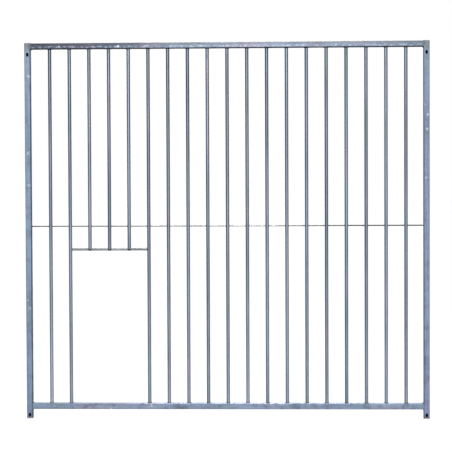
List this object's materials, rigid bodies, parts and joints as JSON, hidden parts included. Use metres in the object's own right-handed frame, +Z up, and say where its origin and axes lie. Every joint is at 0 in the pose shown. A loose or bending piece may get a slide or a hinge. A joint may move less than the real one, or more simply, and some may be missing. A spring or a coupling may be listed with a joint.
{
  "type": "livestock pen panel",
  "caption": "Galvanised steel pen panel: square-tube frame filled with upright round bars, low animal doorway at one end, slotted uprights for joining it to its neighbours.",
  "frame": {"origin": "on the ground, under the middle of the panel's width and depth", "axes": "+X to the right along the panel as seen from the front, +Y to the back through its thickness, +Z up; the doorway is at the -X end"},
  "size_m": [2, 0.03, 1.865],
  "materials": {
    "galvanised_tube": "hot-dip galvanised, mottled blue-grey",
    "galvanised_bar": "hot-dip galvanised, streaky blue-grey",
    "galvanised_rod": "hot-dip galvanised, plain grey",
    "grey_plastic": "moulded polyethylene, fine grain"
  },
  "bodies": {
    "root": {"left_upright": "galvanised_tube", "right_upright": "galvanised_tube", "top_rail": "galvanised_tube", "bottom_rail": "galvanised_tube", "tie_rod": "galvanised_rod", "lintel_rod": "galvanised_rod", "left_top_plug": "grey_plastic", "right_top_plug": "grey_plastic", "left_foot_plug": "grey_plastic", "right_foot_plug": "grey_plastic", "bar_01": "galvanised_bar", "bar_02": "galvanised_bar", "bar_03": "galvanised_bar", "bar_04": "galvanised_bar", "bar_05": "galvanised_bar", "bar_06": "galvanised_bar", "bar_07": "galvanised_bar", "bar_08": "galvanised_bar", "bar_09": "galvanised_bar", "bar_10": "galvanised_bar", "bar_11": "galvanised_bar", "bar_12": "galvanised_bar", "bar_13": "galvanised_bar", "bar_14": "galvanised_bar", "bar_15": "galvanised_bar", "bar_16": "galvanised_bar", "bar_17": "galvanised_bar", "bar_18": "galvanised_bar", "bar_19": "galvanised_bar"}
  },
  "joints": []
}
